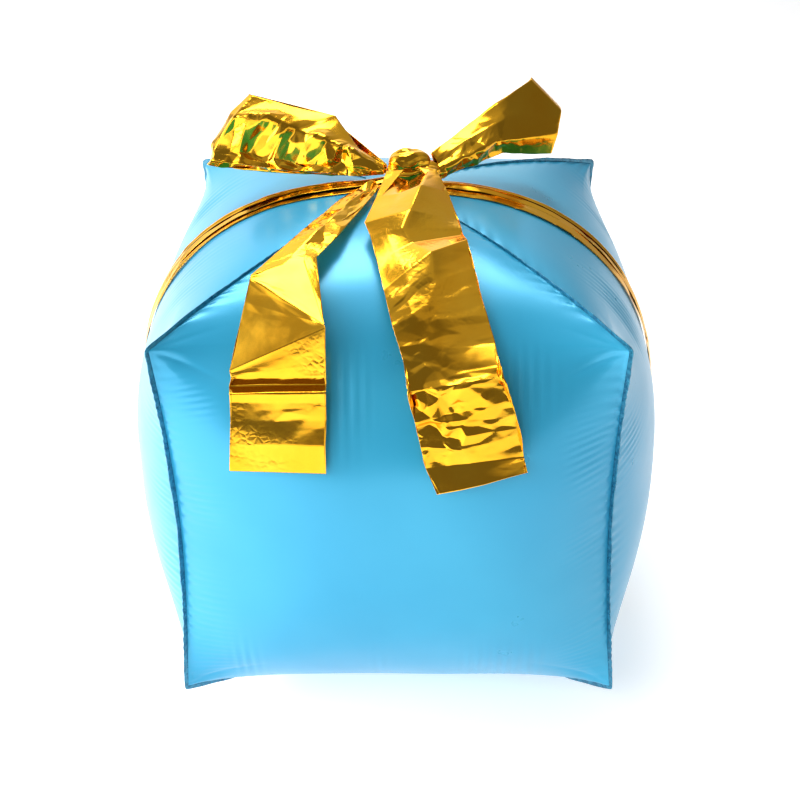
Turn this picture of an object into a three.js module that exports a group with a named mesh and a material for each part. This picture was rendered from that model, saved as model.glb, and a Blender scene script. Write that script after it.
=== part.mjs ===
// An air-filled foil balloon shaped like a gift box, tied with a wide foil ribbon and a bow.
// Millimetres, +Z up. The origin is the middle of the flat patch that the balloon stands on.
// The front faces -Y and the bow's tails hang down it.
import * as THREE from 'three'
import { ParametricGeometry } from 'three/addons/geometries/ParametricGeometry.js'
import { mergeVertices } from 'three/addons/utils/BufferGeometryUtils.js'

// balloon: four film panels, each a side face with a triangle folded over the top and one under
const cornerReach = 190 // from the axis to a corner, along X and along Y
const cornerHeight = 170 // from the middle of the balloon up to its upper corners
const waistReach = 182 // the upright seams draw in to this halfway up
const faceReach = 234 // from the axis to the middle of a bulging side
const poleHeight = 225 // from the middle to the pole where the four panels meet
const restDepth = 214 // the underside is pressed flat this far below the middle
const fullness = 2.385 // exponent of the upright profile: 2 is an ellipse, more is squarer
const lean = 3.7 // how far the front's upper edge stands to the left
const filmThickness = 1.5
const poleHole = 4 // the panels stop this far from the pole
const panelGap = 0.3
const flangeWidth = 6
const flangeThickness = 0.5
const flangeGap = 0.6
const flangeLowRun = -0.72 // lies flat under the base beyond this
const flangeTopReach = 26 // the flange narrows towards the bow and ends this far from the axis

// ribbon
const ribbonThickness = 0.5
const bowThickness = 0.9
const strapHalfWidth = 11 // the ribbon is gathered to this where it wraps round the balloon
const strapGap = 0.7
const grooveDepth = 1.5 // the film gives way by this over the strap, where the balloon stands
const grooveHalfWidth = 24
const knotCentre = new THREE.Vector3(14, 4, 453)
const knotHalfSize = new THREE.Vector3(22, 15, 12)
const loopPuff = 9 // half the space between a loop's two plies
const loopRootGap = 2

// inflation neck on the seam at the back left
const neckHeight = 150
const neckHalfWidth = 18
const neckLength = 50
const neckGap = 1.6
const valveHalfWidth = 10
const valveLength = 60

const mix = THREE.MathUtils.lerp

// Walks evenly from one stop to the next as share goes from 0 to 1.
function spread(share, stops) {
  const place = Math.min(share, 0.999999) * (stops.length - 1)
  const index = Math.floor(place)
  return mix(stops[index], stops[index + 1], place - index)
}

// Upright seam and its runs to the poles, in the corner's diagonal plane.
// run goes from -1 at the lower pole to 1 at the upper one, with the corners at -0.5 and 0.5.
function seamPoint(run) {
  const part = Math.abs(run) / 0.5
  const sign = Math.sign(run)
  if (part <= 1) {
    return { reach: mix(waistReach, cornerReach, part ** 1.75), rise: sign * cornerHeight * part }
  }
  const share = 2 - part
  const rise = mix(poleHeight, cornerHeight, share ** 1.75)
  return { reach: cornerReach * share, rise: sign * rise }
}

// Superellipse through the middle of each panel; grow moves it outwards.
function middlePoint(run, grow = 0) {
  const angle = (run * Math.PI) / 2
  const cosine = Math.cos(angle)
  const sine = Math.sin(angle)
  const scale = (Math.abs(cosine) ** fullness + Math.abs(sine) ** fullness) ** (-1 / fullness)
  return { reach: (faceReach + grow) * cosine * scale, rise: (poleHeight + grow) * sine * scale }
}

// How sharply a panel's bulge falls to its seams: most at the corners, least at the poles.
function bulgeExponent(run) {
  const part = Math.abs(run) / 0.5
  return part <= 1 ? mix(3, 5, part * part) : mix(5, 2, part - 1)
}

// Puts a point given from the balloon's middle into the frame, with the lean and the flat base.
function settle(target, lowest = 0) {
  target.x -= (lean * (target.z / cornerHeight) * (1 - target.y / cornerReach)) / 2
  target.z = Math.max(lowest, target.z + restDepth)
  return target
}

// The film of the panel that faces quarterTurns quarters round from the front.
function panelSurface(quarterTurns) {
  const poleRun = 1 - (0.5 * poleHole) / cornerReach
  return (across, share, target) => {
    const run = spread(share, [-poleRun, -0.5, 0.5, poleRun])
    const seam = seamPoint(run)
    const middle = middlePoint(run)
    const side = across * (1 - panelGap / seam.reach)
    const bulge = 1 - Math.abs(side) ** bulgeExponent(run)
    const forward = mix(seam.reach, middle.reach, bulge)
    target.set(side * seam.reach, -forward, mix(seam.rise, middle.rise, bulge))
    target.applyAxisAngle(new THREE.Vector3(0, 0, 1), (quarterTurns * Math.PI) / 2)
    return settle(target, grooveDepth * Math.max(0, 1 - Math.abs(target.y) / grooveHalfWidth))
  }
}

// A heat-sealed flange that stands out from the seam right of the panel at quarterTurns.
function flangeSurface(quarterTurns) {
  const topRun = 1 - (0.5 * flangeTopReach) / cornerReach
  return (across, share, target) => {
    const run = spread(share, [flangeLowRun, -0.5, 0.5, topRun])
    const width = flangeWidth * mix(1, 0.2, Math.max(0, (run - 0.5) / (topRun - 0.5)))
    const seam = seamPoint(run)
    const before = seamPoint(run - 0.004)
    const after = seamPoint(run + 0.004)
    const fall = (before.reach - after.reach) * Math.SQRT2
    const outward = new THREE.Vector2(after.rise - before.rise, fall)
    outward.normalize().multiplyScalar(flangeGap + (width * (1 + across)) / 2)
    const reach = seam.reach + outward.x / Math.SQRT2
    target.set(reach, -reach, seam.rise + outward.y)
    target.applyAxisAngle(new THREE.Vector3(0, 0, 1), (quarterTurns * Math.PI) / 2)
    return settle(target)
  }
}

// The gathered strap: once round the balloon over both sides, pressed flush with the base below.
function strapSurface(across, share, target) {
  const turn = 4 * (share % 1)
  const run = turn > 2 ? turn - 4 : turn
  const point = middlePoint(run, strapGap + ribbonThickness)
  return settle(target.set(point.reach, across * strapHalfWidth, point.rise))
}

// Flat ribbon between the curves of its two edges, from the knot to its end.
function tailSurface(leftPoints, rightPoints) {
  const leftEdge = new THREE.CatmullRomCurve3(leftPoints)
  const rightEdge = new THREE.CatmullRomCurve3(rightPoints)
  return (across, share, target) => {
    return target.lerpVectors(leftEdge.getPoint(share), rightEdge.getPoint(share), (1 + across) / 2)
  }
}

// A bow loop: out along its rear ply, round the far fold and back along its front ply.
function loopSurface(lowPoints, topPoints) {
  const lowEdge = new THREE.CatmullRomCurve3(lowPoints)
  const topEdge = new THREE.CatmullRomCurve3(topPoints)
  const forward = new THREE.Vector3(0, -0.88, 0.47)
  return (across, share, target) => {
    const out = 1 - Math.abs(2 * share - 1)
    const round = Math.sqrt(Math.max(0, 1 - (2 * out - 1) ** 2))
    const puff = (loopRootGap * (1 - out) + loopPuff * round) * Math.sign(share - 0.5)
    target.lerpVectors(lowEdge.getPoint(out), topEdge.getPoint(out), (1 + across) / 2)
    return target.addScaledVector(forward, puff)
  }
}

// Film that stands in a corner's diagonal plane, from startReach outwards along the diagonal.
function diagonalSurface(quarterTurns, startReach, length, halfWidth) {
  return (across, share, target) => {
    const reach = (startReach + share * length) / Math.SQRT2
    target.set(reach, -reach, neckHeight + across * halfWidth)
    return target.applyAxisAngle(new THREE.Vector3(0, 0, 1), (quarterTurns * Math.PI) / 2)
  }
}

// Solid whose shared vertices are merged and whose faces look outwards.
function closedBody(geometry) {
  geometry.deleteAttribute('normal')
  geometry.deleteAttribute('uv')
  const body = mergeVertices(geometry, 1e-4)
  const positions = body.attributes.position
  const corners = [new THREE.Vector3(), new THREE.Vector3(), new THREE.Vector3()]
  const faces = []
  let volume = 0
  for (let i = 0; i < body.index.count; i += 3) {
    const face = [body.index.getX(i), body.index.getX(i + 1), body.index.getX(i + 2)]
    if (new Set(face).size < 3) continue
    face.forEach((vertex, k) => corners[k].fromBufferAttribute(positions, vertex))
    volume += corners[0].dot(corners[1].clone().cross(corners[2]))
    faces.push(face)
  }
  const outward = volume > 0 ? faces : faces.map((face) => face.reverse())
  body.setIndex(outward.flat())
  return body
}

// Thin solid that follows a surface, with feathered edges. side 1 puts all the thickness below
// the surface, 0 half on each side; ring closes the far end on the near one.
function filmSolid(surface, thickness, side, columns, rows, ring = false) {
  const step = 1e-3
  const ahead = new THREE.Vector3()
  const behind = new THREE.Vector3()
  const normal = new THREE.Vector3()
  const clip = (value, low, high) => Math.min(high, Math.max(low, value))
  const wrap = (around, share, target) => {
    const upper = around < 0.5
    const across = upper ? 4 * around - 1 : 3 - 4 * around
    const atEdge = Math.abs(across) > 0.9999 || (!ring && (share < 1e-4 || share > 0.9999))
    surface(across, share, target)
    if (atEdge) return
    const early = ring ? share - step + 1 : clip(share - step, 0, 1)
    const late = ring ? share + step : clip(share + step, 0, 1)
    surface(clip(across + step, -1, 1), share, ahead)
    surface(clip(across - step, -1, 1), share, behind)
    normal.subVectors(ahead, behind)
    surface(across, late, ahead)
    surface(across, early, behind)
    normal.cross(ahead.sub(behind)).normalize()
    target.addScaledVector(normal, thickness * (upper ? (1 - side) / 2 : -(1 + side) / 2))
  }
  return closedBody(new ParametricGeometry(wrap, 2 * columns, rows))
}

const group = new THREE.Group()

function addPiece(name, geometry, color, roughness, metalness) {
  const material = new THREE.MeshStandardMaterial({ color, roughness, metalness })
  const mesh = new THREE.Mesh(geometry, material)
  mesh.name = name
  group.add(mesh)
  return mesh
}

const addFilm = (name, geometry) => addPiece(name, geometry, 0x58b4e6, 0.3, 0.6)
const addRibbon = (name, geometry) => addPiece(name, geometry, 0xe6b422, 0.2, 0.9)
const point = (x, y, z) => new THREE.Vector3(x, y, z)

// panels and the flanges between them, counted round from the front
const sides = ['front', 'right', 'back', 'left']
const corners = ['front_right', 'back_right', 'back_left', 'front_left']
sides.forEach((side, turns) => {
  addFilm(`${side}_panel`, filmSolid(panelSurface(turns), filmThickness, 1, 12, 30))
  const flange = filmSolid(flangeSurface(turns), flangeThickness, 0, 2, 36)
  addFilm(`seam_${corners[turns]}`, flange)
})

// inflation neck outside the back left seam, and the self-sealing sleeve inside it
const backLeft = 2
const neckRun = (0.5 * (neckHeight - restDepth)) / cornerHeight
const seamReach = seamPoint(neckRun).reach * Math.SQRT2
const neckStart = seamReach + flangeGap + flangeWidth + neckGap
const neckFilm = diagonalSurface(backLeft, neckStart, neckLength, neckHalfWidth)
addFilm('inflation_neck', filmSolid(neckFilm, flangeThickness, 0, 4, 6))
const valveFilm = diagonalSurface(backLeft, seamReach - 8 - valveLength, valveLength, valveHalfWidth)
addPiece('valve_sleeve', filmSolid(valveFilm, flangeThickness, 0, 2, 4), 0xe8ecee, 0.35, 0)

// ribbon round the balloon, knot, loops and tails
addRibbon('wrap_strap', filmSolid(strapSurface, ribbonThickness, 1, 2, 120, true))

const knot = new THREE.SphereGeometry(1, 16, 10)
knot.scale(knotHalfSize.x, knotHalfSize.y, knotHalfSize.z)
const knotMesh = addRibbon('bow_knot', closedBody(knot))
knotMesh.position.copy(knotCentre)

const leftLoop = loopSurface(
  [point(-11, 6, 447), point(-42, 9, 447), point(-86, 12, 446), point(-166, 42, 434)],
  [point(-11, 13, 458), point(-46, 37, 485), point(-87, 49, 491), point(-128, 55, 496)],
)
addRibbon('bow_loop_left', filmSolid(leftLoop, bowThickness, 0, 4, 30))

const rightLoop = loopSurface(
  [point(39, 8, 446), point(55, 28, 446), point(85, 40, 450), point(135, 56, 442)],
  [point(39, 14, 457), point(62, 34, 466), point(84, 48, 486), point(126, 58, 499)],
)
addRibbon('bow_loop_right', filmSolid(rightLoop, bowThickness, 0, 4, 32))

const leftTail = tailSurface(
  [point(-22, 2, 446), point(-79, -93, 441), point(-114, -145, 426), point(-128, -200, 371),
    point(-130, -231, 298)],
  [point(-14, -10, 442), point(-44, -87, 439), point(-64, -128, 431), point(-55, -186, 399),
    point(-56, -231, 296)],
)
addRibbon('tail_left', filmSolid(leftTail, bowThickness, 0, 4, 26))

const rightTail = tailSurface(
  [point(-4, -14, 458), point(-26, -91, 443), point(-11, -155, 416), point(4, -200, 370),
    point(16, -222, 329), point(29, -239, 281)],
  [point(27, -14, 458), point(39, -73, 444), point(47, -146, 415), point(67, -195, 374),
    point(83, -219, 339), point(99, -236, 299)],
)
addRibbon('tail_right', filmSolid(rightTail, bowThickness, 0, 4, 26))

export default group
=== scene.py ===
import bpy
import math
import numpy as np
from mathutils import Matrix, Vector
from mathutils.geometry import delaunay_2d_cdt


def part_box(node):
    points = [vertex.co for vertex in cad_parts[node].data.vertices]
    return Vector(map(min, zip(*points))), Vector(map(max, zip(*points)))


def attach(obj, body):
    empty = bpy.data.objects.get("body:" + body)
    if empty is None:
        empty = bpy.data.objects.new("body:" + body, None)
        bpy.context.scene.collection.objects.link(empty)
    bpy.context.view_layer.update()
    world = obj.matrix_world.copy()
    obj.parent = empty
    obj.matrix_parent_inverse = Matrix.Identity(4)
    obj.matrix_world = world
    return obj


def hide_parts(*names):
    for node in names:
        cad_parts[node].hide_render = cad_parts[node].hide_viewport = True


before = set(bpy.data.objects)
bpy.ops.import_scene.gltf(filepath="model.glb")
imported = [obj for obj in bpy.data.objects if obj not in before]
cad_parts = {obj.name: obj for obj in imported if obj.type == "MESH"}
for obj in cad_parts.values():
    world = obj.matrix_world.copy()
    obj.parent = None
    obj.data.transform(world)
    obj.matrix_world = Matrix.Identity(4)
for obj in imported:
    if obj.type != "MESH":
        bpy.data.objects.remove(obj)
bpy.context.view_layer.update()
scene = bpy.context.scene
frontLow, frontHigh = (Vector(corner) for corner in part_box("front_panel"))
knotLow, knotHigh = (Vector(corner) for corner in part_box("bow_knot"))
neckLow, neckHigh = (Vector(corner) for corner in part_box("inflation_neck"))

# the blown-up film, in metres, measured from the balloon's middle
balloon = {
    "cornerReach": 0.190,
    "cornerHeight": 0.170,
    "waistReach": 0.182,
    "faceReach": -frontLow.y,
    "restDepth": 0.214,
    "poleHeight": frontHigh.z - 0.214,
    "panelEnd": 0.992,
    "fullness": 2.385,
    "seamCurve": 1.75,
    "bulge": {"waist": 3, "corner": 5, "pole": 2},
    "lean": 0.0037,
    "drawIn": 0.006,
    "grooveDepth": 0.0015,
    "grooveHalfWidth": 0.024,
    "sides": ("front", "right", "back", "left"),
    "corners": ("front_right", "back_right", "back_left", "front_left"),
    "panelFlat": (0.4, 0.8),
    "panelArea": 0.24,
}


# small maths on arrays

def mixed(a, b, share):
    return a + (b - a) * share


def smoothStep(low, high, value):
    share = np.clip((value - low) / (high - low), 0, 1)
    return share * share * (3 - 2 * share)


def triangleWave(value):
    return 4 * np.abs(value - np.floor(value + 0.5)) - 1


def bump(value, centre, width):
    return np.exp(-(((value - centre) / width) ** 2))


def gridNormals(points):
    normal = np.cross(np.gradient(points, axis=1), np.gradient(points, axis=0))
    return normal / np.maximum(np.linalg.norm(normal, axis=2, keepdims=True), 1e-12)


def relaxed(points, rounds):
    # rounds off folds; each edge is eased only along its own length, so the sheet doesn't shrink
    for _ in range(rounds):
        eased = points.copy()
        eased[1:-1] = (points[:-2] + points[2:] + 2 * points[1:-1]) / 4
        both = eased.copy()
        both[:, 1:-1] = (eased[:, :-2] + eased[:, 2:] + 2 * eased[:, 1:-1]) / 4
        points = both
    return points


def crumple(x, y, seed, size, stretch):
    # flat facets between sharp folds, as in crushed foil: heights tied to scattered points, and
    # straight in between; the facets' slopes come out near 1
    rng = np.random.default_rng(seed)
    xLow, yLow = x[0, 0] - size, y[0, 0] - size * stretch
    across = int((x[0, -1] - xLow) / size) + 3
    along = int((y[-1, 0] - yLow) / (size * stretch)) + 3
    spots = []
    for row in range(along):
        for column in range(across):
            shift = 0.5 * (row % 2) + rng.uniform(-0.42, 0.42)
            spots.append((xLow + size * (column - 0.5 + shift),
                          yLow + size * stretch * (row - 0.5 + rng.uniform(-0.42, 0.42))))
    heights = rng.uniform(-0.5, 0.5, len(spots)) * size
    corners, _, faces, _, _, _ = delaunay_2d_cdt([Vector(spot) for spot in spots], [], [], 0, 1e-9)
    corners = np.array([tuple(corner) for corner in corners])
    result = np.zeros(x.shape)
    for face in faces:
        a, b, c = corners[list(face)]
        low, high = np.min((a, b, c), axis=0), np.max((a, b, c), axis=0)
        columns = slice(*np.searchsorted(x[0], (low[0], high[0] + 1e-9)))
        rows = slice(*np.searchsorted(y[:, 0], (low[1], high[1] + 1e-9)))
        px, py = x[rows, columns] - a[0], y[rows, columns] - a[1]
        area = (b[0] - a[0]) * (c[1] - a[1]) - (c[0] - a[0]) * (b[1] - a[1])
        toB = (px * (c[1] - a[1]) - py * (c[0] - a[0])) / area
        toC = (py * (b[0] - a[0]) - px * (b[1] - a[1])) / area
        inside = (toB > -1e-6) & (toC > -1e-6) & (toB + toC < 1 + 1e-6)
        ha, hb, hc = heights[list(face)]
        result[rows, columns] = np.where(
            inside, ha + (hb - ha) * toB + (hc - ha) * toC, result[rows, columns])
    return result


def meshFromGrid(name, points, uv):
    rows, columns = points.shape[:2]
    index = np.arange(rows * columns).reshape(rows, columns)
    quads = np.stack([index[:-1, :-1], index[:-1, 1:], index[1:, 1:], index[1:, :-1]], axis=2)
    quads = quads.reshape(-1, 4)
    mesh = bpy.data.meshes.new(name)
    mesh.vertices.add(rows * columns)
    mesh.vertices.foreach_set("co", points.reshape(-1).astype(np.float32))
    mesh.loops.add(quads.size)
    mesh.loops.foreach_set("vertex_index", quads.reshape(-1).astype(np.int32))
    mesh.polygons.add(len(quads))
    mesh.polygons.foreach_set("loop_start", np.arange(0, quads.size, 4, dtype=np.int32))
    layer = mesh.uv_layers.new(name="flat")
    layer.data.foreach_set("uv", uv.reshape(-1, 2)[quads.reshape(-1)].reshape(-1).astype(np.float32))
    mesh.update(calc_edges=True)
    mesh.validate()
    mesh.polygons.foreach_set("use_smooth", np.ones(len(mesh.polygons), bool))
    piece = bpy.data.objects.new(name, mesh)
    scene.collection.objects.link(piece)
    return piece


def weld(piece):
    # joins the two ends of a grid that closes on itself
    modifier = piece.modifiers.new("weld", "WELD")
    modifier.merge_threshold = 1e-5


def thicken(piece, thickness):
    modifier = piece.modifiers.new("ply", "SOLIDIFY")
    modifier.thickness = thickness
    modifier.offset = 0


# materials

class Link:
    # a node's output that works in arithmetic
    def __init__(self, shader, socket):
        self.shader = shader
        self.socket = socket

    def math(self, operation, *others):
        return self.shader.node("ShaderNodeMath", {"operation": operation}, {
            index: value for index, value in enumerate(others)})

    def __mul__(self, other):
        return self.math("MULTIPLY", self, other)

    __rmul__ = __mul__


class Shader:
    def __init__(self, owner):
        owner.use_nodes = True
        self.owner = owner
        self.tree = owner.node_tree

    def node(self, kind, settings=None, inputs=None, output=0):
        made = self.tree.nodes.new(kind)
        for key, value in (settings or {}).items():
            setattr(made, key, value)
        for key, value in (inputs or {}).items():
            self.plug(made.inputs[key], value)
        return None if output is None else Link(self, made.outputs[output])

    def plug(self, socket, value):
        if isinstance(value, Link):
            self.tree.links.new(value.socket, socket)
        else:
            socket.default_value = value

    def place(self):
        return self.node("ShaderNodeTexCoord", output="Object")

    def noise(self, scale, detail, roughness):
        return self.node("ShaderNodeTexNoise", {}, {
            "Vector": self.place(), "Scale": scale, "Detail": detail, "Roughness": roughness})

    def cellEdges(self, scale):
        return self.node("ShaderNodeTexVoronoi", {"feature": "DISTANCE_TO_EDGE"}, {
            "Vector": self.place(), "Scale": scale})

    def range(self, value, fromLow, fromHigh, toLow, toHigh):
        return self.node("ShaderNodeMapRange", {"clamp": True}, {
            "Value": value, "From Min": fromLow, "From Max": fromHigh,
            "To Min": toLow, "To Max": toHigh})

    def blendColour(self, share, first, second):
        # the node's sockets for colours share their names with others, so they go by number
        return self.node("ShaderNodeMix", {"data_type": "RGBA"}, {0: share, 6: first, 7: second}, output=2)

    def relief(self, height, strength, distance, normal=None):
        inputs = {"Height": height, "Strength": strength, "Distance": distance}
        if normal:
            inputs["Normal"] = normal
        return self.node("ShaderNodeBump", {}, inputs)

    def surface(self, **inputs):
        principled = self.tree.nodes["Principled BSDF"]
        for key, value in inputs.items():
            self.plug(principled.inputs[key.replace("_", " ")], value)
        return self.owner


def filmMaterial():
    look = {
        "pale": (0.038, 0.405, 0.650, 1),
        "deep": (0.024, 0.345, 0.590, 1),
        "roughness": (0.27, 0.34),
        "metallic": 0.24,
        "coat": 0.18,
        "coatRoughness": 0.20,
    }
    shader = Shader(bpy.data.materials.new("blueFilm"))
    cloud = shader.noise(6, 3, 0.5)
    colour = shader.blendColour(shader.range(cloud, 0.3, 0.7, 0, 1), look["deep"], look["pale"])
    grain = shader.relief(shader.noise(700, 2, 0.6), 0.10, 0.0003)
    slow = shader.relief(shader.noise(34, 2, 0.4), 0.05, 0.003, grain)
    rough = shader.range(shader.noise(14, 4, 0.6), 0.3, 0.7, *look["roughness"])
    return shader.surface(
        Base_Color=colour, Roughness=rough, Metallic=look["metallic"], Normal=slow,
        Coat_Weight=look["coat"], Coat_Roughness=look["coatRoughness"], Coat_IOR=1.5)


def seamMaterial():
    look = {
        "pale": (0.030, 0.260, 0.400, 1),
        "deep": (0.008, 0.130, 0.230, 1),
        "roughness": (0.24, 0.38),
        "metallic": 0.55,
        "coat": 0.4,
    }
    shader = Shader(bpy.data.materials.new("weldedFilm"))
    crimpAndShade = shader.noise(260, 2, 0.5)
    # the crimp's hollows take the deep colour and its ridges the pale one: painted shade in the hollows of
    # the weld's crimp, laid over the weld's own darker teal
    colour = shader.blendColour(shader.range(crimpAndShade, 0.35, 0.65, 0, 1), look["deep"], look["pale"])
    normal = shader.relief(crimpAndShade, 0.3, 0.0006)
    rough = shader.range(shader.noise(60, 3, 0.6), 0.3, 0.7, *look["roughness"])
    return shader.surface(Base_Color=colour, Roughness=rough, Metallic=look["metallic"], Normal=normal,
                          Coat_Weight=look["coat"], Coat_Roughness=0.2)


def foilMaterial():
    look = {
        "bright": (0.960, 0.510, 0.032, 1),
        "warm": (0.940, 0.445, 0.020, 1),
        "roughness": (0.10, 0.19),
    }
    shader = Shader(bpy.data.materials.new("goldFoil"))
    cloud = shader.noise(22, 3, 0.55)
    colour = shader.blendColour(shader.range(cloud, 0.35, 0.65, 0, 1), look["warm"], look["bright"])
    rough = shader.range(shader.noise(60, 4, 0.65), 0.3, 0.7, *look["roughness"])
    patches = shader.range(shader.noise(17, 2, 0.5), 0.50, 0.66, 0, 1)
    crinkle = shader.cellEdges(170)
    fine = shader.range(crinkle, 0, 0.3, 0, 1) * patches
    normal = shader.relief(fine, 0.10, 0.0010)
    soft = shader.relief(shader.noise(70, 2, 0.5), 0.06, 0.0022, normal)
    return shader.surface(Base_Color=colour, Roughness=rough, Metallic=1.0, Normal=soft)


def sleeveMaterial():
    look = {
        "dull": (0.80, 0.84, 0.86, 1),
        "clear": (0.92, 0.94, 0.95, 1),
        "roughness": (0.25, 0.40),
    }
    shader = Shader(bpy.data.materials.new("clearFilm"))
    cloud = shader.noise(60, 3, 0.6)
    rough = shader.range(cloud, 0.3, 0.7, *look["roughness"])
    colour = shader.blendColour(cloud, look["dull"], look["clear"])
    normal = shader.relief(shader.noise(240, 2, 0.5), 0.2, 0.001)
    return shader.surface(Base_Color=colour, Roughness=rough, Normal=normal)


filmLook = filmMaterial()
seamLook = seamMaterial()
foilLook = foilMaterial()
sleeveLook = sleeveMaterial()
print("materials made")


# the balloon's shape

def seamAt(run):
    # upright seam from -0.5 to 0.5 and its diagonal runs on to the poles, in the corner's plane
    part = np.abs(run) / 0.5
    upright = part <= 1
    share = np.clip(2 - part, 0, 1)
    pull = np.minimum(part, 1) ** balloon["seamCurve"]
    upReach = mixed(balloon["waistReach"], balloon["cornerReach"], pull)
    topRise = mixed(balloon["poleHeight"], balloon["cornerHeight"], share ** balloon["seamCurve"])
    reach = np.where(upright, upReach, balloon["cornerReach"] * share)
    rise = np.sign(run) * np.where(upright, balloon["cornerHeight"] * part, topRise)
    return reach, rise


def middleAt(run, grow=0.0):
    # superellipse up the middle of a panel, pole to pole, grown outwards
    angle = run * math.pi / 2
    power = balloon["fullness"]
    cosine, sine = np.abs(np.cos(angle)), np.sin(angle)
    scale = (cosine ** power + np.abs(sine) ** power) ** (-1 / power)
    reach, rise = balloon["faceReach"] + grow, balloon["poleHeight"] + grow
    return reach * cosine * scale, rise * sine * scale


def bulgeExponent(run):
    # how flat a panel is from side to side: the higher, the flatter its middle
    bulge = balloon["bulge"]
    part = np.abs(run) / 0.5
    upright = mixed(bulge["waist"], bulge["corner"], np.minimum(part, 1) ** 2)
    onTop = mixed(bulge["corner"], bulge["pole"], np.clip(part - 1, 0, 1))
    return np.where(part <= 1, upright, onTop)


def settled(points, pressed=False):
    # the lean, the height above the floor, the flat patch underneath and the strap's groove in it
    points = points.copy()
    lean = balloon["lean"] * points[..., 2] / balloon["cornerHeight"]
    frontness = 1 - points[..., 1] / balloon["cornerReach"]
    points[..., 0] -= lean * frontness / 2
    # the front right seam is drawn in a little
    rightness = np.clip(points[..., 0] / balloon["cornerReach"], 0, 1)
    points[..., 0] -= balloon["drawIn"] * rightness * np.clip(frontness / 2, 0, 1) ** 3
    lowest = np.zeros(points.shape[:-1])
    if pressed:
        nearStrap = np.clip(1 - np.abs(points[..., 1]) / balloon["grooveHalfWidth"], 0, 1)
        lowest = balloon["grooveDepth"] * nearStrap
    points[..., 2] = np.maximum(lowest, points[..., 2] + balloon["restDepth"])
    return points


def turned(points, quarters):
    x, y = points[..., 0].copy(), points[..., 1].copy()
    points = points.copy()
    for _ in range(quarters % 4):
        x, y = -y, x
    points[..., 0], points[..., 1] = x, y
    return points


def panelPoints(run, side):
    reach, rise = seamAt(run)
    middleReach, middleRise = middleAt(run)
    share = 1 - np.abs(side) ** bulgeExponent(run)
    forward = mixed(reach, middleReach, share)
    return np.stack([side * reach, -forward, mixed(rise, middleRise, share)], axis=-1)


# wrinkles in the film, as heights in metres: ripples over the soft edges, short ones beside the
# seams, creases out of the corners, and a slow unevenness all over
wrinkles = {
    "seed": 41,
    "edgeLength": 0.0092,
    "edgeHeight": 0.00050,
    "edgeReach": 0.036,
    "edgePatches": (5, 0.016),
    # the front's own patches over its upper edge: place, half width, strength
    "frontPatches": ((0.095, 0.030, 1.0), (-0.042, 0.020, 1.2)),
    "frontSpot": 0.76,
    "seamLength": 0.0068,
    "seamHeight": 0.00026,
    "seamPatches": (4, 0.034),
    "puckerLength": 0.0125,
    "puckerHeight": 0.0009,
    "puckerReach": 0.0065,
    "creaseHeight": 0.0022,
    "creaseLength": 0.095,
    "creaseWidth": 0.0016,
    "creaseSpread": 0.055,
    # creases out of a corner: angle from the soft edge, share of the length, share of the height
    "creases": ((29, 1, -1), (12, 0.6, 0.45), (52, 0.55, 0.5), (-16, 0.7, -0.5), (71, 0.4, -0.35)),
    "slowHeight": 0.0007,
    "slowWaves": 6,
}


def ripplePatches(place, seed, count, width):
    # where ripples show: a few soft patches scattered along a line
    rng = np.random.default_rng(seed)
    strength = np.zeros_like(place)
    for centre in rng.uniform(-0.165, 0.165, count):
        strength += rng.uniform(0.35, 1) * bump(place, centre, rng.uniform(0.5, 1.3) * width)
    return np.minimum(strength, 1.2)


def cornerCreases(fromEdge, fromCorner):
    # sharp folds that leave a corner
    height = np.zeros_like(fromEdge)
    for angle, longness, tallness in wrinkles["creases"]:
        slope = math.radians(angle)
        length = longness * wrinkles["creaseLength"]
        strength = tallness * wrinkles["creaseHeight"]
        off = fromEdge * math.sin(slope) - fromCorner * math.cos(slope)
        ahead = fromEdge * math.cos(slope) + fromCorner * math.sin(slope)
        width = wrinkles["creaseWidth"] + wrinkles["creaseSpread"] * np.clip(ahead, 0, None)
        fade = smoothStep(0.0, 0.012, ahead) * np.clip(1 - ahead / length, 0, 1) ** 1.3
        height += strength * fade * np.exp(-np.abs(off) / width) * np.clip(ahead / 0.03, 0, 1)
    return height


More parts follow.
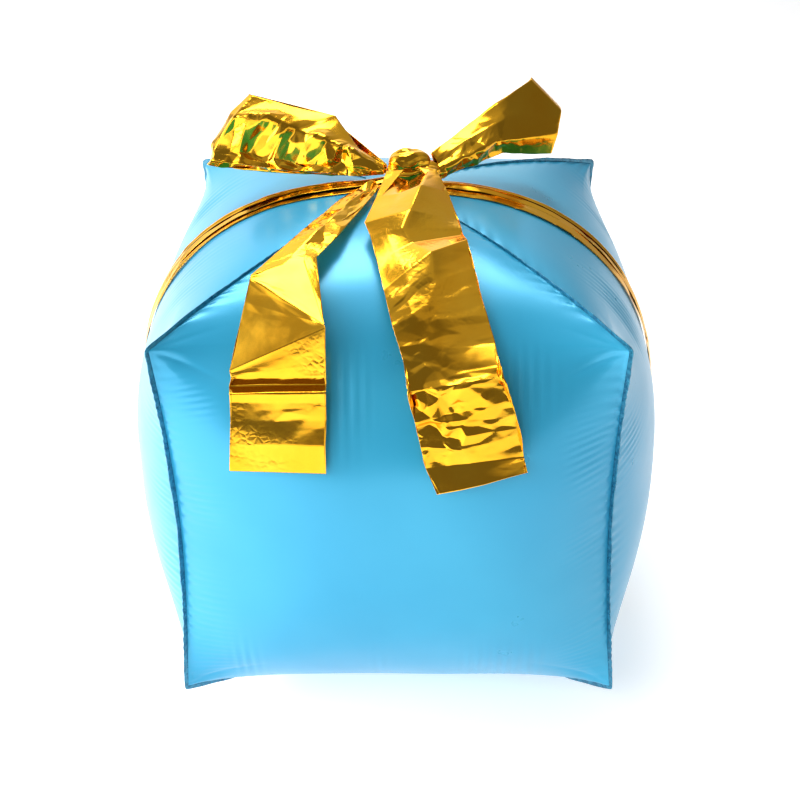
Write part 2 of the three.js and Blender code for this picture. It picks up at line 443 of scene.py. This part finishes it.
def filmHeights(run, side, across, along, edgeAlong, turn):
    rng = np.random.default_rng(wrinkles["seed"] + turn)
    reach, _ = seamAt(run)
    fromSeam = reach - np.abs(across)
    away = smoothStep(0, 0.004, fromSeam)
    right = across > 0

    # ripples over the two soft edges, lying across them
    height = np.zeros_like(across)
    for index, edge in enumerate((edgeAlong, -edgeAlong)):
        patches = ripplePatches(across, wrinkles["seed"] + 10 * turn + index, *wrinkles["edgePatches"])
        spot = edge * (1 - 0.22 * rng.random())
        if turn == 0 and index == 0:
            patches = sum(strength * bump(across, centre, width)
                          for centre, width, strength in wrinkles["frontPatches"])
            spot = wrinkles["frontSpot"] * edge
        wander = rng.uniform(0, 6) + 1.2 * np.sin(across * 60 + rng.uniform(0, 6))
        wave = np.sin(2 * math.pi * across / wrinkles["edgeLength"] + wander)
        fade = bump(along, spot, wrinkles["edgeReach"])
        height += wrinkles["edgeHeight"] * wave * patches * fade

    # short slanting ripples beside the upright seams
    for isRight in (True, False):
        seed = wrinkles["seed"] + 10 * turn + 5 + isRight
        patches = ripplePatches(along, seed, *wrinkles["seamPatches"])
        slant = rng.uniform(0.10, 0.35) * fromSeam * (1 if isRight else -1)
        wave = np.sin(2 * math.pi * (along + slant) / wrinkles["seamLength"] + 2 * np.sin(along * 45))
        fade = bump(fromSeam, 0.022, 0.018) * (np.abs(run) < 0.5)
        height += wrinkles["seamHeight"] * wave * patches * fade * (right == isRight)

    # puckers that start in the weld
    wander = 2.2 * np.sin(along * 38 + rng.uniform(0, 6)) + 1.3 * np.sin(along * 91 + rng.uniform(0, 6))
    pucker = np.sin(2 * math.pi * along / wrinkles["puckerLength"] + wander)
    vary = 0.45 + 0.55 * np.sin(along * 29 + 3 * right + rng.uniform(0, 6)) ** 2
    height += wrinkles["puckerHeight"] * pucker * vary * np.exp(-fromSeam / wrinkles["puckerReach"])

    # creases out of the four corners
    for edge in (edgeAlong, -edgeAlong):
        upper = 1 if edge > 0 else -1
        height += cornerCreases(balloon["cornerReach"] - np.abs(across), upper * (edge - along))

    # slow unevenness
    for _ in range(wrinkles["slowWaves"]):
        wave = rng.normal(0, 9, 2)
        height += wrinkles["slowHeight"] / wrinkles["slowWaves"] * np.sin(
            2 * math.pi * (wave[0] * across + wave[1] * along) + rng.uniform(0, 6))
    return height * away


def makePanel(turn, rows, columns):
    # rows run from pole to pole, columns from seam to seam and closer together near the seams
    run = np.linspace(-balloon["panelEnd"], balloon["panelEnd"], rows)[:, None]
    spaced = np.linspace(-1, 1, columns)[None, :]
    side = spaced * (1.3 - 0.3 * spaced ** 2)
    run, side = np.broadcast_arrays(run, side)
    points = panelPoints(run, side)
    centre = panelPoints(run[:, :1], 0 * side[:, :1])[:, 0]
    steps = np.linalg.norm(np.diff(centre, axis=0), axis=1)
    walked = np.concatenate([[0], np.cumsum(steps)])
    walked -= walked[-1] / 2
    edgeAlong = float(np.interp(0.5, run[:, 0], walked))
    along = np.broadcast_to(walked[:, None], run.shape)
    reach, _ = seamAt(run)
    across = side * reach
    heights = filmHeights(run, side, across, along, edgeAlong, turn)
    points = points + gridNormals(points) * heights[..., None]
    points = settled(turned(points, turn), pressed=True)
    name = balloon["sides"][turn]
    piece = meshFromGrid(f"film_{name}", points, np.stack([across, along], axis=-1))
    piece.data.materials.append(filmLook)
    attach(piece, "balloon")
    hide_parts(f"{name}_panel")


panelGrid = ((420, 200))
for turn in range(4):
    makePanel(turn, *panelGrid)
print("panels made")


# welded flanges up the corners and along the diagonals
flange = {
    "width": 0.0042,
    "lowRun": -0.72,
    "topReach": 0.026,
    "ply": 0.0004,
    "waveLength": 0.0085,
    "waveHeight": 0.0005,
    "seed": 70,
}


def makeFlange(turn, rows=420, columns=7):
    topRun = 1 - 0.5 * flange["topReach"] / balloon["cornerReach"]
    run = np.linspace(flange["lowRun"], topRun, rows)
    reach, rise = seamAt(run)
    spine = np.stack([reach * math.sqrt(2), rise], axis=1)
    heading = np.gradient(spine, axis=0)
    heading = relaxed(heading[:, None], 3)[:, 0]
    heading /= np.linalg.norm(heading, axis=1, keepdims=True)
    outward = np.stack([heading[:, 1], -heading[:, 0]], axis=1)
    walked = np.concatenate([[0], np.cumsum(np.linalg.norm(np.diff(spine, axis=0), axis=1))])
    rng = np.random.default_rng(flange["seed"] + turn)
    narrowing = mixed(1, 0.2, np.clip((run - 0.5) / (topRun - 0.5), 0, 1))
    share = np.linspace(0, 1, columns)
    uneven = 1 + 0.10 * np.sin(walked * 70 + rng.uniform(0, 6)) + 0.05 * np.sin(walked * 190)
    width = flange["width"] * narrowing * uneven
    out = width[:, None] * share[None, :]
    diagonal = spine[:, 0][:, None] + outward[:, 0][:, None] * out
    height = spine[:, 1][:, None] + outward[:, 1][:, None] * out
    wander = 2 * np.sin(walked * 45 + rng.uniform(0, 6)) + 1.4 * np.sin(walked * 118)
    sway = np.sin(2 * math.pi * walked / flange["waveLength"] + wander)
    sway = sway * (0.5 + 0.5 * np.sin(walked * 31 + rng.uniform(0, 6))) * flange["waveHeight"]
    off = sway[:, None] * share[None, :] ** 1.3 * narrowing[:, None]
    x, y = (diagonal + off) / math.sqrt(2), (-diagonal + off) / math.sqrt(2)
    points = np.stack([x, y, height], axis=-1)
    points = settled(turned(points, turn))
    name = f"seam_{balloon['corners'][turn]}"
    uv = np.stack(np.broadcast_arrays(share[None, :] * flange["width"], walked[:, None]), axis=-1)
    piece = meshFromGrid(f"welded_{name}", points, uv)
    thicken(piece, flange["ply"])
    piece.data.materials.append(seamLook)
    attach(piece, "balloon")
    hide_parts(name)


for turn in range(4):
    makeFlange(turn)
print("seams made")


# the inflation neck, with its welded margins and slight curl
neck = {
    "halfWidth": 0.018,
    "length": 0.050,
    "ply": 0.0005,
    "curl": 0.004,
    "puff": 0.0012,
    "ripple": 0.0005,
    "margin": 0.004,
    "marginDepth": 0.0004,
}


def makeNeck(rows=44, columns=34):
    root = Vector((neckHigh.x, neckLow.y, 0))
    height = (neckLow.z + neckHigh.z) / 2
    outward = Vector((-1, 1, 0)).normalized()
    sideways = Vector((1, 1, 0)).normalized()
    share = np.linspace(0, 1, rows)[:, None]
    across = np.linspace(-1, 1, columns)[None, :]
    share, across = np.broadcast_arrays(share, across)
    rounded = 1 - 0.16 * smoothStep(0.72, 1, share) ** 2
    puff = (1 - across ** 2) ** 0.5 * np.sin(math.pi * np.clip(share * 1.05, 0, 1)) * neck["puff"]
    curl = neck["curl"] * share ** 2 * (0.6 + 0.4 * across)
    ripple = neck["ripple"] * np.sin(share * 34 + 2 * across) * np.abs(across)
    edge = 1 - neck["margin"] / neck["halfWidth"]
    welded = -neck["marginDepth"] * smoothStep(edge - 0.06, edge + 0.06, np.abs(across))
    off = curl + ripple + puff + welded
    out = share * neck["length"]
    points = np.stack([root.x + outward.x * out + sideways.x * off,
                       root.y + outward.y * out + sideways.y * off,
                       height + across * neck["halfWidth"] * rounded], axis=-1)
    uv = np.stack([out, across * neck["halfWidth"]], axis=-1)
    piece = meshFromGrid("neck_tab", points, uv)
    thicken(piece, neck["ply"])
    piece.data.materials.append(seamLook)
    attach(piece, "neck")
    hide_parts("inflation_neck")


makeNeck()
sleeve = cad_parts["valve_sleeve"]
sleeve.data.materials.clear()
sleeve.data.materials.append(sleeveLook)
print("neck made")


# the strap: a wide ribbon folded to and fro on itself into a narrow band
strap = {
    # from edge to edge of the flat ribbon, each fold's place across the band and height off the film
    "folds": ((0.0040, 0.0003), (-0.0130, 0.0006), (0.0122, 0.0016), (-0.0052, 0.0028),
              (0.0115, 0.0036), (0.0028, 0.0046)),
    "wander": 0.0020,
    "clear": 0.0006,
    "arch": 0.0012,
    "knotGather": 0.28,
    "knotRise": 0.004,
    "pressedBetween": (-0.205, -0.150),
    "loosensBetween": (0.05, 0.20),
    "crush": {"seed": 53, "size": 0.007, "stretch": 7, "steepness": 0.14, "quarterTurn": 0.36},
    "flat": (0.078, 1.45),
}


def makeStrap(rows=620, perFold=9):
    turn = np.linspace(0, 4, rows)
    run = np.where(turn > 2, turn - 4, turn)
    reach, rise = middleAt(run, strap["clear"])
    reach = np.where((turn > 1) & (turn < 3), -reach, reach)
    route = np.stack([reach, 0 * reach, np.where(turn > 2, -1, 1) * np.abs(rise)], axis=1)
    ahead = np.roll(route[:-1], -1, axis=0) - np.roll(route[:-1], 1, axis=0)
    ahead = np.concatenate([ahead, ahead[:1]])
    ahead /= np.linalg.norm(ahead, axis=1, keepdims=True)
    outward = np.stack([ahead[:, 2], 0 * ahead[:, 0], -ahead[:, 0]], axis=1)
    folds = np.array(strap["folds"])
    stops = np.linspace(0, len(folds) - 1, (len(folds) - 1) * perFold + 1)
    place = np.arange(len(folds))
    angle = turn * math.pi / 2
    wandering = []
    for index in range(len(folds)):
        wave = 0.6 * np.sin(angle * (2 + index % 3) + 1.9 * index)
        wave = wave + 0.4 * np.sin(angle * (7 - index) + index)
        wandering.append(folds[index, 0] + strap["wander"] * wave)
    wandering = np.array(wandering)
    across = np.array([np.interp(stops, place, wandering[:, i]) for i in range(rows)])
    lift = np.interp(stops, place, folds[:, 1])[None, :] * np.ones((rows, 1))
    sag = np.sin(math.pi * (stops % 1)) ** 2
    # loose on top by the knot, pulled tight down the sides
    lift = lift * mixed(0.35, 1, smoothStep(*strap["loosensBetween"], route[:, 2]))[:, None]
    unevenness = 1 + 0.7 * np.sin(5 * angle[:, None] + stops[None, :] * 2.1)
    lift = lift + strap["arch"] * sag[None, :] * unevenness
    # flat against the floor underneath
    drop = smoothStep(*strap["pressedBetween"], route[:, 2])[:, None]
    lift = lift * mixed(0.02, 1, drop)
    gather = 1 - strap["knotGather"] * bump(turn, 1, 0.10)[:, None]
    rise = strap["knotRise"] * bump(turn, 1, 0.05)[:, None]
    points = route[:, None] + outward[:, None] * (lift + rise)[..., None]
    points[..., 1] += across * gather
    points = relaxed(points, 1)
    points[-1] = points[0]
    crush = strap["crush"]
    flatAcross = stops[None, :] * (strap["flat"][0] / (len(folds) - 1))
    x, y = np.broadcast_arrays(flatAcross, turn[:, None] * crush["quarterTurn"])
    dents = crumple(x, y, crush["seed"], crush["size"], crush["stretch"]) * mixed(0.1, 1, drop)
    points += outward[:, None] * (crush["steepness"] * dents)[..., None]
    points = settled(points)
    points[..., 2] = np.maximum(points[..., 2], 0.0001 + 0.9 * np.minimum(lift, 0.0004))
    walked = np.concatenate([[0], np.cumsum(np.linalg.norm(np.diff(route, axis=0), axis=1))])
    uv = np.stack(np.broadcast_arrays(flatAcross, walked[:, None]), axis=-1)
    piece = meshFromGrid("ribbon_strap", points, uv)
    weld(piece)
    piece.data.materials.append(foilLook)
    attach(piece, "balloon")
    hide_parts("wrap_strap")


makeStrap()
print("strap made")


# the bow: each ribbon is a sheet folded along rows of corner points, in millimetres; the rows start
# at its root by the knot, and "crushed" gives how crumpled it is at each share of its length
ribbon = {
    "width": 0.078,
    "ply": 0.0002,
    "deepestTuck": 0.9,
    "apart": 0.0011,
    "spacing": 0.0009,
    "waveHeight": 0.0003,
}


def tucked(rows):
    # where a row is narrower than the ribbon, both of its edges are folded in underneath
    width = np.linalg.norm(np.diff(rows, axis=1), axis=2).sum(axis=1)
    spare = np.clip((ribbon["width"] - width) / 2, 0.0004, ribbon["deepestTuck"] * width)
    ahead = np.gradient(rows[:, rows.shape[1] // 2], axis=0)
    span = rows[:, -1] - rows[:, 0]
    under = np.cross(ahead, span)
    under /= np.linalg.norm(under, axis=1, keepdims=True)
    under *= ribbon["apart"] * np.clip(spare / 0.006, 0.1, 1)[:, None]
    inward = span / np.linalg.norm(span, axis=1, keepdims=True) * spare[:, None]
    first = rows[:, 0] + inward + under
    last = rows[:, -1] - inward + under * 2
    return np.concatenate([first[:, None], rows, last[:, None]], axis=1)


def foldedSheet(rows):
    # evenly spaced points over rows of corner points, with the folds between them slightly rounded
    rows = tucked(np.array(rows, float) / 1000)
    widest = np.linalg.norm(np.diff(rows, axis=1), axis=2).sum(axis=1).max()
    lengths = np.linalg.norm(np.diff(rows, axis=0), axis=2).max(axis=1)
    rowPlace = np.concatenate([[0], np.cumsum(lengths)])
    columns = int(widest / ribbon["spacing"])
    count = int(rowPlace[-1] / ribbon["spacing"])
    column = np.linspace(0, rows.shape[1] - 1, columns)
    row = np.linspace(0, rowPlace[-1], count)
    wide = np.stack([[np.interp(column, np.arange(rows.shape[1]), r[:, k]) for k in range(3)]
                     for r in rows])
    points = np.stack([[np.interp(row, rowPlace, wide[:, k, j]) for j in range(columns)]
                       for k in range(3)], axis=-1).transpose(1, 0, 2)
    x = np.broadcast_to(np.linspace(0, widest, columns)[None, :], (count, columns))
    y = np.broadcast_to(row[:, None], (count, columns))
    return relaxed(points, 1), x, y


def makeRibbon(name, sheet, body, node):
    points, x, y = foldedSheet(sheet["rows"])
    normal = gridNormals(points)
    share = y / y[-1, 0]
    level = np.interp(share, *zip(*sheet["crushed"]))
    if "crushedAcross" in sheet:
        level = level * np.interp(x / x[0, -1], *zip(*sheet["crushedAcross"]))
    height = ribbon["waveHeight"] * np.sin(x * 95 + 3 * np.sin(y * 37)) * np.sin(y * 71 + 2)
    for index, (size, stretch, steepness) in enumerate(sheet["crush"]):
        height = height + level * steepness * crumple(x, y, sheet["seed"] + index, size, stretch)
    points = points + normal * height[..., None]
    piece = meshFromGrid(name, points, np.stack([x, y], axis=-1))
    thicken(piece, ribbon["ply"])
    piece.data.materials.append(foilLook)
    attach(piece, body)
    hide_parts(node)
    return piece


leftTail = {
    "rows": (
        ((-23, -4, 446), (-19, -7, 447), (-15, -11, 445)),
        ((-50, -43, 446), (-40, -47, 448), (-30, -51, 442)),
        ((-79, -95, 442), (-64, -99, 446), (-48, -100, 440)),
        ((-116, -147, 428), (-90, -138, 433), (-64, -128, 435)),
        ((-116, -150, 426), (-86, -175, 420), (-56, -200, 413)),
        ((-130, -203, 374), (-92, -203, 393), (-55, -203, 412)),
        ((-129, -204, 368), (-92, -207, 370), (-55, -211, 373)),
        ((-131, -203, 360), (-93, -206, 363), (-55, -209, 365)),
        ((-130, -213, 359), (-92, -215, 361), (-55, -218, 363)),
        ((-130, -213, 352), (-92, -216, 353), (-55, -218, 355)),
        ((-130, -218, 336), (-92, -219, 338), (-55, -221, 341)),
        ((-131, -223, 318), (-93, -225, 320), (-56, -227, 320)),
        ((-132, -227, 297), (-94, -229, 297), (-56, -231, 297)),
    ),
    "seed": 5,
    "crush": ((0.013, 2.2, 0.30), (0.006, 1.6, 0.16)),
    "crushed": ((0, 1.2), (0.15, 0.9), (0.28, 0.5), (0.36, 0.06), (0.46, 0.06), (0.52, 0.35), (0.62, 0.30),
                (0.74, 0.08), (0.8, 0.35), (0.9, 0.35), (1, 0.08)),
    "flat": (0.078, 0.31),
}
rightTail = {
    "rows": (
        ((-10, -15, 461), (9, -17, 453), (27, -16, 463), (33, -15, 463)),
        ((-18, -50, 453), (1, -53, 457), (19, -54, 465), (42, -42, 454)),
        ((-27, -84, 445), (-9, -85, 451), (10, -86, 457), (50, -72, 442)),
        ((-22, -100, 440), (-10, -101, 444), (4, -102, 448), (52, -84, 440)),
        ((-16, -128, 430), (-2, -120, 436), (12, -112, 440), (53, -90, 437)),
        ((-11, -155, 420), (6, -144, 430), (26, -131, 441), (56, -104, 439)),
        ((-4, -184, 403), (13, -177, 410), (30, -166, 415), (65, -152, 416)),
        ((4, -204, 384), (20, -201, 387), (38, -197, 389), (76, -188, 390)),
        ((8, -222, 365), (26, -222, 369), (45, -222, 373), (80, -219, 378)),
        ((15, -225, 333), (33, -225, 337), (52, -225, 342), (91, -222, 347)),
        ((22, -230, 301), (42, -230, 304), (62, -229, 306), (99, -226, 309)),
        ((31, -241, 284), (49, -241, 288), (67, -241, 293), (101, -238, 303)),
    ),
    "seed": 9,
    "crush": ((0.014, 1.2, 0.32), (0.0065, 1.2, 0.24)),
    "crushed": ((0, 0.2), (0.15, 0.03), (0.30, 0.03), (0.42, 0.08), (0.50, 0.5), (0.62, 0.6), (0.70, 0.9),
                (0.76, 2.3), (0.90, 2.0), (0.94, 0.4), (1, 0.3)),
    "flat": (0.078, 0.31),
}

for name, sheet, body, node in (("ribbon_tail_left", leftTail, "tail_left", "tail_left"),
                                ("ribbon_tail_right", rightTail, "tail_right", "tail_right")):
    piece = makeRibbon(name, sheet, body, node)
print("tails made")

# each loop runs out along its rear ply, round the far fold and back along its front ply
leftLoop = {
    "rows": (
        ((-10, 9, 449), (-10, 11, 452), (-10, 12, 455), (-10, 12, 457)),
        ((-44, 24, 440), (-44, 36, 454), (-45, 42, 466), (-44, 44, 474)),
        ((-92, 30, 440), (-88, 42, 458), (-84, 52, 476), (-60, 60, 484)),
        ((-150, 50, 437), (-146, 52, 460), (-134, 58, 480), (-118, 64, 498)),
        ((-168, 42, 443), (-164, 48, 459), (-146, 48, 490), (-130, 58, 503)),
        ((-164, 33, 451), (-160, 39, 460), (-143, 38, 491), (-126, 54, 503)),
        ((-129, 28, 448), (-129, 34, 457), (-114, 34, 492), (-92, 51, 494)),
        ((-94, 21, 446), (-95, 25, 453), (-82, 26, 481), (-54, 47, 487)),
        ((-41, 8, 447), (-41, 11, 455), (-38, 12, 470), (-33, 23, 466)),
        ((-12, 6, 449), (-12, 6, 452), (-12, 7, 454), (-12, 9, 457)),
    ),
    "seed": 15,
    "crush": ((0.014, 1.3, 0.66), (0.0065, 1.3, 0.50)),
    "crushed": ((0, 0.2), (0.1, 0.3), (0.5, 0.4), (0.6, 1.0), (0.9, 1.0), (1, 0.2)),
    "crushedAcross": ((0, 0.45), (0.2, 1), (0.60, 1), (0.70, 0.10), (1, 0.04)),
    "flat": (0.078, 0.31),
}
rightLoop = {
    "rows": (
        ((36, 12, 448), (36, 14, 453), (36, 16, 459), (34, 18, 465)),
        ((60, 34, 448), (58, 38, 456), (56, 42, 466), (54, 46, 474)),
        ((92, 52, 450), (90, 56, 464), (89, 62, 480), (87, 66, 493)),
        ((126, 66, 446), (128, 66, 466), (130, 70, 486), (114, 74, 508)),
        ((137, 58, 448), (142, 56, 470), (144, 60, 490), (117, 68, 515)),
        ((136, 50, 451), (140, 44, 471), (143, 50, 491), (116, 62, 515)),
        ((93, 40, 455), (90, 32, 470), (94, 44, 486), (87, 56, 496)),
        ((56, 16, 449), (57, 11, 463), (56, 22, 474), (50, 34, 476)),
        ((36, 4, 447), (35, 3, 454), (34, 8, 460), (29, 14, 467)),
    ),
    "seed": 23,
    "crush": ((0.014, 1.5, 0.60), (0.0065, 1.3, 0.42)),
    "crushed": ((0, 0.5), (0.45, 0.15), (0.55, 0.15), (0.72, 0.5), (0.85, 1.1), (1, 1.0)),
    "crushedAcross": ((0, 1.3), (0.35, 1.1), (0.6, 0.4), (1, 0.25)),
    "flat": (0.078, 0.25),
}

for name, sheet, body, node in (("ribbon_loop_left", leftLoop, "loop_left", "bow_loop_left"),
                                ("ribbon_loop_right", rightLoop, "loop_right", "bow_loop_right")):
    piece = makeRibbon(name, sheet, body, node)
print("loops made")


# the knot: a crushed core, its gathers running to both sides, with a roll of ribbon over it
knot = {
    "centre": (knotLow + knotHigh) / 2,
    "half": (knotHigh - knotLow) / 2,
    "coreShare": (1.02, 0.90, 0.95),
    "coreGathers": 0.09,
    "rollHalf": (0.018, 0.0125, 0.0125),
    "rollGathers": 0.05,
    "rollPlace": (-0.004, -0.0005, 0.0075),
    "gatherCount": 8,
    "crushed": 0.42,
}


def makeLump(name, half, place, gathers, seed, rows=110, columns=150):
    latitude = np.linspace(-math.pi / 2, math.pi / 2, rows)[:, None]
    longitude = np.linspace(0, 2 * math.pi, columns)[None, :]
    latitude, longitude = np.broadcast_arrays(latitude, longitude)
    ring = np.cos(latitude) ** 0.75
    x = np.sin(latitude)
    turns = longitude * knot["gatherCount"] / (2 * math.pi)
    folds = gathers * triangleWave(turns + 0.35 * np.sin(3 * x + seed))
    size = 1 + folds * (1 - 0.5 * np.abs(x))
    points = np.stack([x * half[0], ring * np.cos(longitude) * size * half[1],
                       ring * np.sin(longitude) * size * half[2]], axis=-1)
    around, aside = longitude * 0.013, x * 0.02
    dents = crumple(around, aside, seed, 0.009, 1.5)
    dents = dents + 0.5 * crumple(around, aside, seed + 1, 0.004, 1.4)
    seamless = smoothStep(0, 0.5, longitude) * smoothStep(0, 0.5, 2 * math.pi - longitude)
    dents = dents * ring ** 0.6 * seamless
    outward = points / np.linalg.norm(points, axis=2, keepdims=True)
    points = points + outward * knot["crushed"] * dents[..., None]
    points[:, -1] = points[:, 0]
    points = points + np.array(knot["centre"]) + np.array(place)
    piece = meshFromGrid(name, points, np.stack([around, aside], axis=-1))
    weld(piece)
    piece.data.materials.append(foilLook)
    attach(piece, "balloon")
    return piece


coreHalf = [half * share for half, share in zip(knot["half"], knot["coreShare"])]
core = makeLump("knot_core", coreHalf, (0, 0, 0), knot["coreGathers"], seed=31)
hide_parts("bow_knot")
makeLump("knot_roll", knot["rollHalf"], knot["rollPlace"], knot["rollGathers"], seed=37)
print("knot made")


# floor, light and camera
studio = {
    "floorSize": 14,
    "floorPale": (0.86, 0.865, 0.87, 1),
    "floorDusty": (0.84, 0.845, 0.85, 1),
    "wall": (0.97, 0.975, 0.98, 1),
    "wallGlow": 1.05,
    "cameraDistance": 1.4694,
    "cameraElevation": 31.28,
    "cameraSide": 0.0019,
    "lens": 70.6,
    "aimRise": 0.0105,
    "room": 0.42,
    "lamps": (
        # name, place, size, watts, whether mirrored in the foil
        ("topBox", (-0.15, 0.55, 1.95), (0.9, 0.7), 15, True),
        ("leftBox", (-2.1, -0.5, 0.9), (1.0, 1.0), 24, True),
        ("frontFill", (-1.1, -1.9, 1.6), (1.8, 1.4), 32, False),
    ),
    # parts of the room: direction, cosines where each starts and is full, and its strength there
    "patches": (
        ((-0.25, 0.87, 0.38), 0.74, 0.94, 3.2),
        ((-0.95, 0.00, 0.30), 0.84, 0.96, 3.6),
        ((-0.06, 0.30, 0.95), 0.930, 0.975, 4.2),
        ((0.10, -0.83, 0.50), 0.62, 0.88, 0.40),
        ((0.93, -0.10, 0.20), 0.60, 0.90, 0.50),
    ),
    # how much the paper glows at its left and at its right
    "floorGlow": (0.9, 0.25),
    "lampTarget": (0, 0, 0.22),
}


def makeFloor():
    shader = Shader(bpy.data.materials.new("paperSweep"))
    dust = shader.noise(3, 4, 0.6)
    colour = shader.blendColour(
        shader.range(dust, 0.3, 0.7, 0, 1), studio["floorDusty"], studio["floorPale"])
    # the light on the paper fades towards the right
    reach = shader.node("ShaderNodeSeparateXYZ", {}, {"Vector": shader.place()}, output="X")
    glow = shader.range(reach, -0.8, 0.9, *studio["floorGlow"])
    shader.surface(Base_Color=colour, Roughness=0.75, Emission_Strength=1.0,
                   Emission_Color=shader.blendColour(glow, (0, 0, 0, 1), (1, 1, 1, 1)))
    bpy.ops.mesh.primitive_plane_add(size=studio["floorSize"], location=(0, 0, -0.0004))
    floor = bpy.context.object
    floor.name = "floor"
    floor.data.materials.append(shader.owner)


def makeWorld():
    # what the foil mirrors: a pale room, darker in front and to the right, and brighter behind,
    # above and to the left
    world = bpy.data.worlds.new("studio")
    scene.world = world
    shader = Shader(world)
    shader.tree.nodes.clear()
    heading = shader.node("ShaderNodeTexCoord")
    level = shader.node("ShaderNodeValue")
    level.socket.default_value = studio["room"]
    for aim, start, full, left in studio["patches"]:
        nearness = shader.node("ShaderNodeVectorMath", {"operation": "DOT_PRODUCT"}, {
            0: heading, 1: Vector(aim).normalized()}, output="Value")
        level = level * shader.node("ShaderNodeMapRange", {"interpolation_type": "SMOOTHSTEP"}, {
            "Value": nearness, "From Min": start, "From Max": full, "To Min": 1, "To Max": left})
    room = shader.node("ShaderNodeBackground", {}, {"Color": (1, 1, 1, 1), "Strength": level})
    wall = shader.node("ShaderNodeBackground", {}, {
        "Color": studio["wall"], "Strength": studio["wallGlow"]})
    fromCamera = shader.node("ShaderNodeLightPath", output="Is Camera Ray")
    chosen = shader.node("ShaderNodeMixShader", {}, {0: fromCamera, 1: room, 2: wall})
    shader.node("ShaderNodeOutputWorld", {}, {"Surface": chosen}, output=None)


def makeLamps():
    target = Vector(studio["lampTarget"])
    for name, place, size, watts, mirrored in studio["lamps"]:
        lamp = bpy.data.lights.new(name, "AREA")
        lamp.shape = "RECTANGLE"
        lamp.size, lamp.size_y = size
        lamp.energy = watts
        holder = bpy.data.objects.new(name, lamp)
        holder.visible_glossy = mirrored
        holder.location = place
        holder.rotation_euler = (target - Vector(place)).to_track_quat("-Z", "Y").to_euler()
        scene.collection.objects.link(holder)


def makeCamera():
    angle = math.radians(studio["cameraElevation"])
    centre = Vector((studio["cameraSide"], 0, balloon["restDepth"]))
    back = Vector((0, -math.cos(angle), math.sin(angle)))
    upward = Vector((0, math.sin(angle), math.cos(angle)))
    data = bpy.data.cameras.new("camera")
    data.lens = studio["lens"]
    data.sensor_width = 36
    camera = bpy.data.objects.new("camera", data)
    camera.location = centre + back * studio["cameraDistance"]
    aim = centre + upward * studio["aimRise"]
    camera.rotation_euler = (aim - camera.location).to_track_quat("-Z", "Y").to_euler()
    scene.collection.objects.link(camera)
    scene.camera = camera


makeFloor()
makeWorld()
makeLamps()
makeCamera()
scene.view_settings.view_transform = "Standard"
scene.view_settings.look = "None"
print("studio made")
